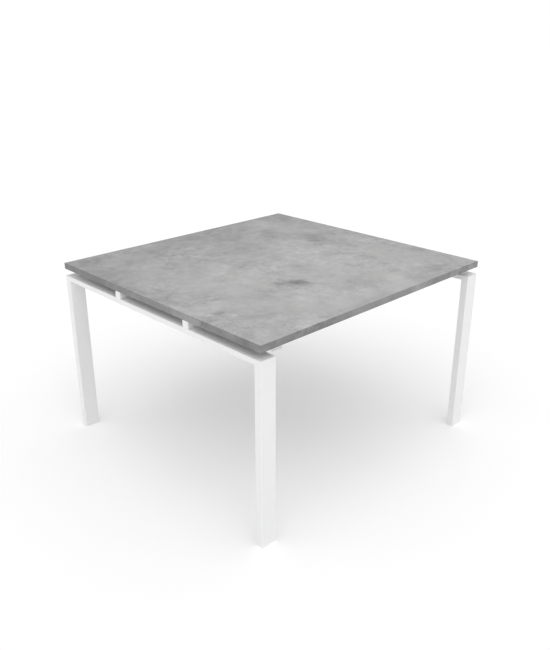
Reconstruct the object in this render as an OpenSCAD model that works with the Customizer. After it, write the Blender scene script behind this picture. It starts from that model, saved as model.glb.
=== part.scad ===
// Square conference table: a laminated board on two welded portals.
// Two rails run from portal to portal on top of the beams and carry the board.
// Millimetres. Origin on the floor under the middle of the board, +Z up.
// +X runs along the rails, from the left portal to the right portal.
// +Y runs from the front side to the rear side.

/* [Tabletop] */
// Length of the tabletop along the rails
table_w = 1220; // [900:10:1800]
// Depth of the tabletop, from the front side to the rear side
table_d = 1160; // [800:10:1600]
// Height of the tabletop's upper face above the floor
table_h = 750; // [650:5:900]
// Thickness of the board
board_t = 25; // [18:1:40]
// Thickness of the edge bands
band_t = 2; // [0.8:0.1:3]

/* [Portals] */
// Size of the leg and beam tubes along X
leg_w = 65; // [55:1:110]
// Size of the leg tubes along Y
leg_d = 30; // [28:1:60]
// Height of the beam tubes
beam_h = 20; // [16:1:60]
// Wall of the leg and beam tubes
portal_wall = 2; // [1.5:0.1:3]

/* [Rails] */
// Width of the rail tubes
rail_w = 30; // [26:1:60]
// Height of the rail tubes, which is the gap between beam and board
rail_h = 28; // [24:1:60]
// Wall of the rail tubes
rail_wall = 2; // [1.5:0.1:3]
// Distance of the front rail from the middle of the table
front_rail_y = 212; // [120:1:300]
// Distance of the rear rail from the middle of the table
rear_rail_y = 194; // [120:1:300]
// Thickness of the rail caps' flange
cap_flange_t = 2; // [1:0.5:3]
// Depth that the rail caps reach into the tube
cap_depth = 8; // [5:0.5:9]
// Wall of the rail caps' spigot
cap_wall = 2; // [1:0.5:3]

/* [Leg ends] */
// Thickness of the leg plugs' flange, which stands on the floor
plug_flange_t = 2; // [1:0.5:4]
// Height of the leg plugs' body above the flange
plug_body_h = 21; // [20:0.5:40]
// Wall of the leg plugs
plug_wall = 2; // [1:0.5:3]
// Thickness of the web under the nut
web_t = 3; // [2:0.5:4]
// Length of the solid block around the nut
boss_w = 26; // [24:0.5:30]

/* [Levelling feet] */
// Diameter of the foot pads
pad_d = 20; // [18:0.5:20]
// Height of the foot pads
pad_h = 8.5; // [7.5:0.5:9]
// Recess of the foot pads above the floor when they are wound fully in
pad_recess = 0.5; // [0.3:0.1:1]
// Thickness of the pad's floor under the stud's collar
pad_floor_t = 2; // [1:0.5:2.5]
// Thread diameter of the foot studs
stud_d = 8; // [6:1:8]
// Length of the foot studs
stud_len = 30; // [28:1:40]
// Diameter of the collar that the pad snaps over
collar_d = 13; // [11:0.5:14]
// Thickness of the collar
collar_t = 2.5; // [2:0.5:3]
// Size across the flats of the key socket in the stud
stud_key_af = 4; // [3:0.5:5]
// Depth of the key socket in the stud
stud_key_depth = 5; // [3:0.5:8]
// Size across the flats of the foot nuts
nut_af = 13; // [12:0.5:14]
// Height of the foot nuts
nut_h = 6.5; // [5:0.5:7]

/* [Screws] */
// Thread diameter of the screws
screw_d = 6; // [5:1:6]
// Diameter of the screw heads
head_d = 10; // [9:0.5:11]
// Height of the screw heads
head_h = 6; // [4:0.5:7]
// Size across the flats of the key socket in the screw heads
key_af = 5; // [3:0.5:6]
// Depth of the key socket in the screw heads
key_depth = 3; // [2:0.5:3.5]
// Length under the head of the screws that join beam and rail
joint_screw_len = 16; // [12:1:18]
// Length under the head of the screws that hold the board
top_screw_len = 14; // [10:1:15]
// Distance from the beam's sides to the screws that join beam and rail
joint_edge = 17.5; // [17:0.5:20]
// Number of screws along each rail that hold the board
top_screw_count = 3; // [2:1:6]
// Distance from the beam's inner side to the outermost screw of the board
top_screw_edge = 95; // [40:5:150]
// Diameter of the access holes for the screw heads
access_d = 12; // [11.5:0.5:14]

/* [Nuts and inserts] */
// Outer diameter of the rivet nuts
rivet_d = 9; // [8.5:0.5:10]
// Diameter of the rivet nuts' countersunk head
rivet_head_d = 12; // [11:0.5:12]
// Height of the rivet nuts' countersunk head
rivet_head_h = 1.4; // [0.8:0.1:1.4]
// Length of the rivet nuts
rivet_len = 14; // [12:0.5:16]
// Diameter of the bulge that grips the inside of the rail
bulge_d = 12.4; // [11.5:0.2:13]
// Height of the bulge
bulge_h = 2.5; // [1.5:0.5:3]
// Outer diameter of the threaded inserts in the board
insert_d = 10; // [9:0.5:12]
// Length of the threaded inserts
insert_len = 13; // [10:0.5:15]
// Spare depth of the board's blind holes past the inserts
insert_spare = 1; // [0.5:0.5:2]

/* [Fits] */
// Clearance on each side between a plug or cap and its tube
plug_fit = 0.1; // [0.05:0.05:0.3]
// Radial clearance of a shaft or thread in its bore
running_fit = 0.05; // [0.03:0.01:0.08]
// Radial clearance of a screw in a through hole
screw_clear = 0.3; // [0.2:0.1:0.5]
// Radial clearance of the pad in the plug's pocket
pocket_clear = 0.5; // [0.3:0.1:0.6]
// Gap between the pad and the pocket's ceiling when wound fully in
stop_gap = 0.3; // [0.2:0.1:0.5]

/* [Hidden] */
$fn = 64;

// Sides of the table, as signs along X and Y
LEFT = -1;
RIGHT = 1;
FRONT = -1;
REAR = 1;
// Overshoot that lets a cut pass cleanly through a face
cut = 1;

// Heights of the layers, from the top down
board_z = table_h - board_t;
beam_top_z = board_z - rail_h;
beam_z = beam_top_z - beam_h;

// Insides of the portals and the rails
rail_len = table_w - 2 * cap_flange_t;
leg_x = table_w / 2 - leg_w / 2;
leg_y = table_d / 2 - leg_d / 2;
beam_screw_x = [leg_x - leg_w / 2 + joint_edge, leg_x + leg_w / 2 - joint_edge];
top_screw_reach = table_w / 2 - leg_w - top_screw_edge;
top_screw_pitch = 2 * top_screw_reach / (top_screw_count - 1);
top_screw_x = [for (i = [0 : top_screw_count - 1]) -top_screw_reach + i * top_screw_pitch];

// Levelling foot, wound fully in
pad_top_z = pad_recess + pad_h;
pocket_top_z = pad_top_z + stop_gap;
nut_z = pocket_top_z + web_t;
stud_z = pad_recess + pad_floor_t + running_fit;
plug_top_z = plug_flange_t + plug_body_h;

function rail_y(side) = side == FRONT ? -front_rail_y : rear_rail_y;

// Distance across the corners of a hexagon
function across_corners(flats) = flats / cos(30);

// Block centred on X and Y that stands on the given height
module block(w, d, h, z = 0) {
  translate([-w / 2, -d / 2, z])
    cube([w, d, h]);
}

// Upright hexagon that stands on the given height
module hexagon(flats, h, z) {
  translate([0, 0, z])
    cylinder(d = across_corners(flats), h = h, $fn = 6);
}

// Upright round bar or hole that starts at the given height
module round_bar(d, h, z) {
  translate([0, 0, z])
    cylinder(d = d, h = h);
}

// Prism along X whose outline is drawn in the Y-Z plane
module prism_x(w, outline) {
  translate([-w / 2, 0, 0])
    rotate([90, 0, 90])
      linear_extrude(height = w)
        polygon(outline);
}

// Cap screw with its head below, its shaft pointing up from the seat
module cap_screw(len, seat_z) {
  difference() {
    union() {
      round_bar(head_d, head_h, seat_z - head_h);
      round_bar(screw_d, len, seat_z);
    }
    hexagon(key_af, key_depth + cut, seat_z - head_h - cut);
  }
}

// Places children at each joint screw of one crossing
module at_joint_screws(portal_side, side) {
  for (x = beam_screw_x)
    translate([portal_side * x, rail_y(side), 0])
      children();
}

// Places children at each screw that holds the board on one rail
module at_top_screws(side) {
  for (x = top_screw_x)
    translate([x, rail_y(side), 0])
      children();
}

// Places children over one leg's axis
module at_leg(portal_side, side) {
  translate([portal_side * leg_x, side * leg_y, 0])
    children();
}

module tabletop_board() {
  color("#a9a9a9")
    difference() {
      block(table_w - 2 * band_t, table_d - 2 * band_t, board_t, board_z);
      for (side = [FRONT, REAR])
        at_top_screws(side)
          round_bar(insert_d + 2 * running_fit, insert_len + insert_spare + cut, board_z - cut);
    }
}

// Band along the front or the rear, over the full length
module long_edge_band(side) {
  color("#9a9a9a")
    translate([0, side * (table_d - band_t) / 2, 0])
      block(table_w, band_t, board_t, board_z);
}

// Band at the left or the right, between the two long bands
module short_edge_band(portal_side) {
  color("#9a9a9a")
    translate([portal_side * (table_w - band_t) / 2, 0, 0])
      block(band_t, table_d - 2 * band_t, board_t, board_z);
}

// Beam of a portal, mitred to both legs
module beam(portal_side) {
  outer_y = table_d / 2;
  inner_y = outer_y - leg_d;
  color("white")
    difference() {
      translate([portal_side * leg_x, 0, 0])
        prism_x(leg_w, [
          [-outer_y, beam_top_z], [-inner_y, beam_z],
          [inner_y, beam_z], [outer_y, beam_top_z]
        ]);
      translate([portal_side * leg_x, 0, 0])
        block(leg_w - 2 * portal_wall, table_d + 2 * cut, beam_h - 2 * portal_wall, beam_z + portal_wall);
      for (side = [FRONT, REAR])
        at_joint_screws(portal_side, side) {
          round_bar(access_d, portal_wall + 2 * cut, beam_z - cut);
          round_bar(screw_d + 2 * screw_clear, portal_wall + 2 * cut, beam_top_z - portal_wall - cut);
        }
    }
}

// Leg of a portal, mitred to the beam and open at the floor end
module leg(portal_side, side) {
  outer_y = leg_d / 2;
  color("white")
    at_leg(portal_side, side)
      mirror([0, side == FRONT ? 1 : 0, 0])
        difference() {
          prism_x(leg_w, [
            [-outer_y, plug_flange_t], [outer_y, plug_flange_t],
            [outer_y, beam_top_z], [-outer_y, beam_z]
          ]);
          block(leg_w - 2 * portal_wall, leg_d - 2 * portal_wall, beam_top_z, plug_flange_t - cut);
        }
}

// Rail along X, laid over both beams
module rail(side) {
  color("white")
    difference() {
      translate([0, rail_y(side), 0])
        block(rail_len, rail_w, rail_h, beam_top_z);
      translate([0, rail_y(side), 0])
        block(rail_len + 2 * cut, rail_w - 2 * rail_wall, rail_h - 2 * rail_wall, beam_top_z + rail_wall);
      for (portal_side = [LEFT, RIGHT])
        at_joint_screws(portal_side, side)
          rivet_hole();
      at_top_screws(side) {
        round_bar(access_d, rail_wall + 2 * cut, beam_top_z - cut);
        round_bar(screw_d + 2 * screw_clear, rail_wall + 2 * cut, board_z - rail_wall - cut);
      }
    }
}

// Countersunk hole for a rivet nut in the rail's lower wall
module rivet_hole() {
  round_bar(rivet_d + 2 * running_fit, rail_wall + 2 * cut, beam_top_z - cut);
  rivet_head(running_fit);
}

// Cone of a rivet nut's head, flush with the rail's lower face
module rivet_head(clear) {
  translate([0, 0, beam_top_z])
    cylinder(d1 = rivet_head_d + 2 * clear, d2 = rivet_d + 2 * clear, h = rivet_head_h);
}

// Cap that closes one end of a rail, with a hollow spigot
module rail_cap(portal_side, side) {
  spigot_w = rail_w - 2 * rail_wall - 2 * plug_fit;
  spigot_h = rail_h - 2 * rail_wall - 2 * plug_fit;
  spigot_z = beam_top_z + rail_wall + plug_fit;
  spigot_x = rail_len / 2 - cap_depth / 2;
  color("white")
    translate([0, rail_y(side), 0]) {
      difference() {
        union() {
          translate([portal_side * (rail_len + cap_flange_t) / 2, 0, 0])
            block(cap_flange_t, rail_w, rail_h, beam_top_z);
          translate([portal_side * spigot_x, 0, 0])
            block(cap_depth, spigot_w, spigot_h, spigot_z);
        }
        translate([portal_side * (spigot_x - cut), 0, 0])
          block(cap_depth + 2 * cut, spigot_w - 2 * cap_wall, spigot_h - 2 * cap_wall, spigot_z + cap_wall);
      }
    }
}

// Moulded plug in the end of a leg: the table stands on its flange
module leg_plug(portal_side, side) {
  body_w = leg_w - 2 * portal_wall - 2 * plug_fit;
  body_d = leg_d - 2 * portal_wall - 2 * plug_fit;
  pocket_w = (body_w - boss_w) / 2 - plug_wall;
  color("white")
    at_leg(portal_side, side)
      difference() {
        union() {
          block(leg_w, leg_d, plug_flange_t);
          block(body_w, body_d, plug_body_h, plug_flange_t);
        }
        round_bar(pad_d + 2 * pocket_clear, pocket_top_z + cut, -cut);
        round_bar(stud_d + 2 * screw_clear, plug_top_z, pocket_top_z - cut);
        hexagon(nut_af, nut_h, nut_z);
        for (sx = [-1, 1])
          translate([sx * (boss_w + pocket_w) / 2, 0, 0])
            block(pocket_w, body_d - 2 * plug_wall, plug_body_h + cut, plug_flange_t);
      }
}

// Hexagon nut moulded into the plug
module foot_nut(portal_side, side) {
  color("silver")
    at_leg(portal_side, side)
      difference() {
        hexagon(nut_af, nut_h, nut_z);
        round_bar(stud_d + 2 * running_fit, nut_h + 2 * cut, nut_z - cut);
      }
}

// Pad of a levelling foot, snapped over the collar of its stud
module foot_pad(portal_side, side) {
  collar_room_z = pad_recess + pad_floor_t;
  color("dimgray")
    at_leg(portal_side, side)
      difference() {
        round_bar(pad_d, pad_h, pad_recess);
        round_bar(across_corners(stud_key_af) + 2 * screw_clear, pad_floor_t + 2 * cut, pad_recess - cut);
        round_bar(collar_d + 2 * running_fit, collar_t + 2 * running_fit, collar_room_z);
        round_bar(stud_d + 2 * running_fit, pad_h, collar_room_z);
      }
}

// Threaded stud of a levelling foot, with a collar and a key socket below
module foot_stud(portal_side, side) {
  color("silver")
    at_leg(portal_side, side)
      difference() {
        union() {
          round_bar(collar_d, collar_t, stud_z);
          round_bar(stud_d, stud_len, stud_z);
        }
        hexagon(stud_key_af, stud_key_depth + cut, stud_z - cut);
      }
}

// Screws that join one beam to both rails, heads inside the beam
module joint_screws(portal_side) {
  color("silver")
    for (side = [FRONT, REAR])
      at_joint_screws(portal_side, side)
        cap_screw(joint_screw_len, beam_top_z - portal_wall);
}

// Rivet nuts in the lower wall of one rail
module rivet_nuts(side) {
  color("silver")
    for (portal_side = [LEFT, RIGHT])
      at_joint_screws(portal_side, side)
        difference() {
          union() {
            rivet_head(0);
            round_bar(rivet_d, rivet_len, beam_top_z);
            round_bar(bulge_d, bulge_h, beam_top_z + rail_wall);
          }
          round_bar(screw_d + 2 * running_fit, rivet_len + 2 * cut, beam_top_z - cut);
        }
}

// Screws that hold the board on one rail, heads inside the rail
module top_screws(side) {
  color("silver")
    at_top_screws(side)
      cap_screw(top_screw_len, board_z - rail_wall);
}

// Threaded inserts in the board's underside over one rail
module board_inserts(side) {
  color("silver")
    at_top_screws(side)
      difference() {
        round_bar(insert_d, insert_len, board_z);
        round_bar(screw_d + 2 * running_fit, insert_len + 2 * cut, board_z - cut);
      }
}

tabletop_board();
long_edge_band(FRONT);  // front_edge_band
long_edge_band(REAR);  // rear_edge_band
short_edge_band(LEFT);  // left_edge_band
short_edge_band(RIGHT);  // right_edge_band
beam(LEFT);  // left_beam
beam(RIGHT);  // right_beam
leg(LEFT, FRONT);  // left_front_leg
leg(LEFT, REAR);  // left_rear_leg
leg(RIGHT, FRONT);  // right_front_leg
leg(RIGHT, REAR);  // right_rear_leg
rail(FRONT);  // front_rail
rail(REAR);  // rear_rail
rail_cap(LEFT, FRONT);  // front_rail_left_cap
rail_cap(RIGHT, FRONT);  // front_rail_right_cap
rail_cap(LEFT, REAR);  // rear_rail_left_cap
rail_cap(RIGHT, REAR);  // rear_rail_right_cap
leg_plug(LEFT, FRONT);  // left_front_plug
leg_plug(LEFT, REAR);  // left_rear_plug
leg_plug(RIGHT, FRONT);  // right_front_plug
leg_plug(RIGHT, REAR);  // right_rear_plug
foot_nut(LEFT, FRONT);  // left_front_nut
foot_nut(LEFT, REAR);  // left_rear_nut
foot_nut(RIGHT, FRONT);  // right_front_nut
foot_nut(RIGHT, REAR);  // right_rear_nut
foot_pad(LEFT, FRONT);  // left_front_pad
foot_pad(LEFT, REAR);  // left_rear_pad
foot_pad(RIGHT, FRONT);  // right_front_pad
foot_pad(RIGHT, REAR);  // right_rear_pad
foot_stud(LEFT, FRONT);  // left_front_stud
foot_stud(LEFT, REAR);  // left_rear_stud
foot_stud(RIGHT, FRONT);  // right_front_stud
foot_stud(RIGHT, REAR);  // right_rear_stud
joint_screws(LEFT);  // left_joint_screws
joint_screws(RIGHT);  // right_joint_screws
rivet_nuts(FRONT);  // front_rivet_nuts
rivet_nuts(REAR);  // rear_rivet_nuts
top_screws(FRONT);  // front_top_screws
top_screws(REAR);  // rear_top_screws
board_inserts(FRONT);  // front_board_inserts
board_inserts(REAR);  // rear_board_inserts
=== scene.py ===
"""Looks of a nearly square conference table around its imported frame.

A board with a concrete look floats over two white steel portals. Two rails lie on the portals' beams and
carry the board, and a levelling foot winds out of the floor end of each leg.
"""

import logging
import math
from collections.abc import Callable, Iterator
from contextlib import contextmanager
from dataclasses import dataclass, field
from enum import Enum

import bmesh
import bpy
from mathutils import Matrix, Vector


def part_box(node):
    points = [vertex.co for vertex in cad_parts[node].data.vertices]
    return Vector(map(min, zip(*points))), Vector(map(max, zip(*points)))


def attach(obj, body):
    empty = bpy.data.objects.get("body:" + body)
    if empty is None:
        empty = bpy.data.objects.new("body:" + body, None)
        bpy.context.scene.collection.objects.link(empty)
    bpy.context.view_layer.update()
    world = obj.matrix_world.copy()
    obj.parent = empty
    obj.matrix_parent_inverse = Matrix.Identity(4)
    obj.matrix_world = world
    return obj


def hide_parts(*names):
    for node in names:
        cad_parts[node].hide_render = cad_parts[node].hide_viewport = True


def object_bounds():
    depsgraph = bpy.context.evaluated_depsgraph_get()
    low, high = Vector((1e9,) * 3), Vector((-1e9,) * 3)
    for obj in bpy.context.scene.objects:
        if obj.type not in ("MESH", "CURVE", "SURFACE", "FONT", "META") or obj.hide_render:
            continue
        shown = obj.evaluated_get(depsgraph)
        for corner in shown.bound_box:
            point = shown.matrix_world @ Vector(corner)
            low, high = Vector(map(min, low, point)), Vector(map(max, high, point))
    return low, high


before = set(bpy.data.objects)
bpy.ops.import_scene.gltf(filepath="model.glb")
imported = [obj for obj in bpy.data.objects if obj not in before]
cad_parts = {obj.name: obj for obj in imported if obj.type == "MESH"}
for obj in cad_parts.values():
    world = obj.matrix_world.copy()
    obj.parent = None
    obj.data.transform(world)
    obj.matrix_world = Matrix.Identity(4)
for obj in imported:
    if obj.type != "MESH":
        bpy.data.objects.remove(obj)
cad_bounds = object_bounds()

log = logging.getLogger("conference_table")

Piece = bpy.types.Object
Material = bpy.types.Material
Tree = bpy.types.NodeTree
Node = bpy.types.Node
Socket = bpy.types.NodeSocket
Color = tuple[float, float, float]
Value = Socket | float | tuple[float, ...]
Inputs = dict[str | int, Value]
Box = tuple[Vector, Vector]
PairTest = Callable[[Vector, Vector], bool]

X, Y, Z = range(3)  # axes
MM = 0.001
OVERLAP = 0.5 * MM  # how far solids reach into or past each other before they are combined
CLOSE = 0.001 * MM  # places nearer than this are the same
NEARLY = 0.9  # a direction with this share of its length along an axis runs along it
HEXAGON = {"sides": 6, "turn_deg": 30.0}  # of a bar whose corners point along X
BLACK = (0.0, 0.0, 0.0)
WHITE = (1.0, 1.0, 1.0)


class Slot(Enum):
    """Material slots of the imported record."""

    BOARD = "concrete_board"
    EDGE = "concrete_edge"
    STEEL = "white_powder_coat"
    WHITE_PLASTIC = "white_plastic"
    GREY_PLASTIC = "grey_plastic"
    ZINC = "zinc_steel"


class Way(Enum):
    """A way on the table's plan.

    Attributes:
        axis: X or Y.
        sign: Its sign along that axis.
    """

    def __init__(self, axis: int, sign: int) -> None:
        """Takes the axis and the sign."""
        self.axis = axis
        self.sign = sign

    @property
    def word(self) -> str:
        """The way's word in the frame's node names."""
        return self.name.lower()

    def reach(self, node: str) -> float:
        """Finds how far a CAD node reaches this way."""
        low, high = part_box(node)
        return (high if self.sign > 0 else low)[self.axis]


class Side(Way):
    """The two portals."""

    LEFT = (X, -1)
    RIGHT = (X, 1)


class End(Way):
    """The front and rear of the table."""

    FRONT = (Y, -1)
    REAR = (Y, 1)


CORNERS = [f"{side.word}_{end.word}" for side in Side for end in End]


# Modelling helpers


def deselect() -> None:
    """Deselects everything, because operators act on all that is selected."""
    bpy.ops.object.select_all(action="DESELECT")


def pick_only(piece: Piece) -> None:
    """Selects one piece and nothing else, and makes it active.

    Args:
        piece: The piece to work on.
    """
    deselect()
    piece.select_set(True)
    bpy.context.view_layer.objects.active = piece


@contextmanager
def editing(piece: Piece, element: str) -> Iterator[bmesh.types.BMesh]:
    """Opens a piece in edit mode with nothing selected, and closes it afterwards.

    Args:
        piece: The piece to edit.
        element: What is selected in edit mode: VERT, EDGE or FACE.

    Yields:
        The piece's edit mesh.
    """
    pick_only(piece)
    bpy.ops.object.mode_set(mode="EDIT")
    bpy.ops.mesh.select_mode(type=element)
    bpy.ops.mesh.select_all(action="DESELECT")
    yield bmesh.from_edit_mesh(piece.data)
    bpy.ops.object.mode_set(mode="OBJECT")


def name_piece(name: str) -> Piece:
    """Names the object that was just added and puts its place into its mesh.

    Args:
        name: The piece's name.

    Returns:
        The piece, at the origin, unturned and unscaled.
    """
    piece = bpy.context.object
    piece.name = name
    piece.data.name = name
    bpy.ops.object.transform_apply(location=True, rotation=True, scale=True)
    return piece


def add_block(name: str, low: Vector, high: Vector) -> Piece:
    """Adds a block between two corners.

    Args:
        name: The piece's name.
        low: Lowest corner.
        high: Highest corner.

    Returns:
        The new piece.
    """
    deselect()
    bpy.ops.mesh.primitive_cube_add(size=1.0, location=(low + high) / 2)
    bpy.context.object.scale = high - low
    return name_piece(name)


def add_bar(
    name: str,
    axis: Vector,
    low: float,
    high: float,
    radius: float,
    sides: int = 48,
    top_radius: float | None = None,
    turn_deg: float = 0.0,
) -> Piece:
    """Adds an upright bar, round or many-sided.

    Args:
        name: The piece's name.
        axis: A point on the bar's axis.
        low: Height of its lower end.
        high: Height of its upper end.
        radius: Radius at the corners.
        sides: Number of sides.
        top_radius: Radius of the upper end, where the bar tapers.
        turn_deg: Turn about the axis.

    Returns:
        The new piece.
    """
    deselect()
    bpy.ops.mesh.primitive_cone_add(
        vertices=sides,
        radius1=radius,
        radius2=radius if top_radius is None else top_radius,
        depth=high - low,
        location=(axis.x, axis.y, (low + high) / 2),
        rotation=(0.0, 0.0, math.radians(turn_deg)),
    )
    return name_piece(name)


def bevel_edges(piece: Piece, width: float, wanted: PairTest, segments: int = 2) -> None:
    """Rounds the edges whose two ends pass a test.

    Args:
        piece: The piece to round.
        width: Radius of the rounding.
        wanted: Test of an edge's two ends.
        segments: Number of faces across the rounding.
    """
    with editing(piece, "EDGE") as mesh:
        for edge in mesh.edges:
            edge.select_set(wanted(edge.verts[0].co, edge.verts[1].co))
        bmesh.update_edit_mesh(piece.data)
        bpy.ops.mesh.bevel(offset=width, offset_type="OFFSET", segments=segments, profile=0.5, affect="EDGES")


def delete_faces(piece: Piece, wanted: PairTest) -> None:
    """Deletes the faces whose centre and normal pass a test.

    Args:
        piece: The piece to open.
        wanted: Test of a face's centre and normal.
    """
    with editing(piece, "FACE") as mesh:
        for face in mesh.faces:
            face.select_set(wanted(face.calc_center_median(), face.normal))
        bmesh.update_edit_mesh(piece.data)
        bpy.ops.mesh.delete(type="FACE")


def mitre(tube: Piece, point: Vector, outward: Vector) -> None:
    """Cuts a hollow tube by a plane and closes its wall along the cut.

    Args:
        tube: The tube to cut.
        point: A point on the plane.
        outward: The plane's normal, towards the part that goes.
    """
    with editing(tube, "VERT"):
        bpy.ops.mesh.select_all(action="SELECT")
        bpy.ops.mesh.bisect(plane_co=point, plane_no=outward, use_fill=False, clear_outer=True)
        bpy.ops.mesh.select_all(action="DESELECT")
        bpy.ops.mesh.select_mode(type="EDGE")
        bpy.ops.mesh.select_non_manifold()
        bpy.ops.mesh.bridge_edge_loops()


def apply_modifier(piece: Piece, kind: str, **settings: object) -> None:
    """Adds a modifier to a piece, sets it and applies it.

    Args:
        piece: The piece.
        kind: The modifier's type.
        **settings: The modifier's properties.
    """
    pick_only(piece)
    bpy.ops.object.modifier_add(type=kind)
    modifier = piece.modifiers[-1]
    for name, value in settings.items():
        setattr(modifier, name, value)
    bpy.ops.object.modifier_apply(modifier=modifier.name)


def combine(piece: Piece, other: Piece, operation: str) -> None:
    """Joins another solid to a piece, cuts it away or keeps what both share, and deletes the other.

    Args:
        piece: The piece that stays.
        other: The solid that is used up.
        operation: UNION, DIFFERENCE or INTERSECT.
    """
    apply_modifier(piece, "BOOLEAN", operation=operation, solver="EXACT", object=other)
    bpy.data.objects.remove(other, do_unlink=True)


def cut(piece: Piece, cutter: Piece) -> None:
    """Cuts a solid away from a piece and deletes the cutter."""
    combine(piece, cutter, "DIFFERENCE")


def soften(piece: Piece, angle_deg: float = 40.0) -> None:
    """Shades roundings smooth while flat faces stay flat.

    Args:
        piece: The piece to shade.
        angle_deg: Edges sharper than this stay sharp.
    """
    pick_only(piece)
    bpy.ops.object.shade_smooth_by_angle(angle=math.radians(angle_deg))
    apply_modifier(piece, "WEIGHTED_NORMAL", mode="FACE_AREA", keep_sharp=True)


def copy_piece(piece: Piece, name: str, shift: Vector) -> Piece:
    """Copies a piece with its own mesh to another place.

    Args:
        piece: The piece to copy.
        name: The copy's name.
        shift: How far the copy lies from the piece.

    Returns:
        The copy, with its place in its mesh.
    """
    pick_only(piece)
    bpy.ops.object.duplicate(linked=False)
    bpy.ops.transform.translate(value=shift)
    return name_piece(name)


def along(axis: int, a: Vector, b: Vector) -> bool:
    """Says whether the line between two points runs along an axis."""
    step = b - a
    return abs(step[axis]) > NEARLY * step.length


def both_at(axis: int, place: float, a: Vector, b: Vector) -> bool:
    """Says whether two points both lie at one place on an axis."""
    return max(abs(a[axis] - place), abs(b[axis] - place)) < CLOSE


def spanned(box: Box, axis: int, start: float, end: float) -> Box:
    """Gives a box another span along one axis.

    Args:
        box: The box's lowest and highest corners.
        axis: The axis.
        start: One end of the new span.
        end: The span's other end.

    Returns:
        The new box's lowest and highest corners.
    """
    low, high = box[0].copy(), box[1].copy()
    low[axis], high[axis] = sorted((start, end))
    return low, high


def shrunk(box: Box, margin: Vector) -> Box:
    """Takes a margin off a box at all its sides."""
    return box[0] + margin, box[1] - margin


# Materials


class NodeSheet:
    """Adds, sets and links nodes in one node tree."""

    def __init__(self, tree: Tree) -> None:
        """Takes the tree to work in."""
        self.tree = tree

    def feed(self, node: Node, inputs: Inputs) -> None:
        """Links a node's inputs or gives them constants.

        Args:
            node: The node.
            inputs: Socket name or number to a constant or to an output socket.
        """
        for name, value in inputs.items():
            if isinstance(value, Socket):
                self.tree.links.new(value, node.inputs[name])
            else:
                node.inputs[name].default_value = value

    def add(self, kind: str, inputs: Inputs | None = None, **settings: object) -> Node:
        """Adds a node.

        Args:
            kind: The node's type name.
            inputs: Socket name or number to a constant or to an output socket.
            **settings: The node's properties.

        Returns:
            The new node.
        """
        node = self.tree.nodes.new(kind)
        for name, value in settings.items():
            setattr(node, name, value)
        self.feed(node, inputs or {})
        return node

    def math(self, operation: str, *values: Value, clamp: bool = False) -> Socket:
        """Adds a Math node and returns its output."""
        inputs = dict(enumerate(values))
        return self.add("ShaderNodeMath", inputs, operation=operation, use_clamp=clamp).outputs[0]

    def vector_math(self, operation: str, *values: Value) -> Socket:
        """Adds a Vector Math node and returns its vector output."""
        return self.add("ShaderNodeVectorMath", dict(enumerate(values)), operation=operation).outputs[0]

    def noise(
        self, vector: Value, scale: Value, detail: float = 2.0, roughness: float = 0.5, output: str = "Fac"
    ) -> Socket:
        """Adds a Noise Texture node and returns one of its outputs."""
        inputs = {"Vector": vector, "Scale": scale, "Detail": detail, "Roughness": roughness}
        return self.add("ShaderNodeTexNoise", inputs).outputs[output]

    def wander(
        self, vector: Value, scale: Value, reach: Value, detail: float, roughness: float = 0.5
    ) -> Socket:
        """Pushes coordinates about by a noise.

        Args:
            vector: The coordinates.
            scale: Scale of the noise.
            reach: How strongly it pushes, in metres.
            detail: Detail of the noise.
            roughness: Roughness of the noise.

        Returns:
            The new coordinates.
        """
        middle = (0.5, 0.5, 0.5)
        offset = self.vector_math("SUBTRACT", self.noise(vector, scale, detail, roughness, "Color"), middle)
        push = self.add("ShaderNodeVectorMath", {0: offset, "Scale": reach}, operation="SCALE")
        return self.vector_math("ADD", vector, push.outputs[0])

    def remap(
        self, value: Value, low: float, high: float, to_low: float = 0.0, to_high: float = 1.0
    ) -> Socket:
        """Adds a smooth Map Range node and returns its output."""
        inputs = {"Value": value, "From Min": low, "From Max": high, "To Min": to_low, "To Max": to_high}
        return self.add("ShaderNodeMapRange", inputs, interpolation_type="SMOOTHSTEP").outputs["Result"]

    def weigh(self, first: Socket, second: Socket, share: float) -> Socket:
        """Adds the average of two values in which the first one has a given share."""
        return self.math("MULTIPLY_ADD", first, share, self.math("MULTIPLY", second, 1.0 - share))

    def swing(self, value: Socket, width: float) -> Socket:
        """Adds a swing of a given width about 0 to a value that is 0.5 on average."""
        return self.math("MULTIPLY_ADD", value, width, -width / 2)

    def blend(self, factor: Value, low: Color, high: Color) -> Socket:
        """Adds a Mix node between two colours, whose sockets are numbers 6, 7 and 2."""
        inputs = {0: factor, 6: (*low, 1.0), 7: (*high, 1.0)}
        return self.add("ShaderNodeMix", inputs, data_type="RGBA").outputs[2]

    def bump(self, height: Value, strength: float, distance: float) -> Socket:
        """Adds a Bump node and returns its normal."""
        inputs = {"Strength": strength, "Distance": distance, "Height": height}
        return self.add("ShaderNodeBump", inputs).outputs["Normal"]


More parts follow.
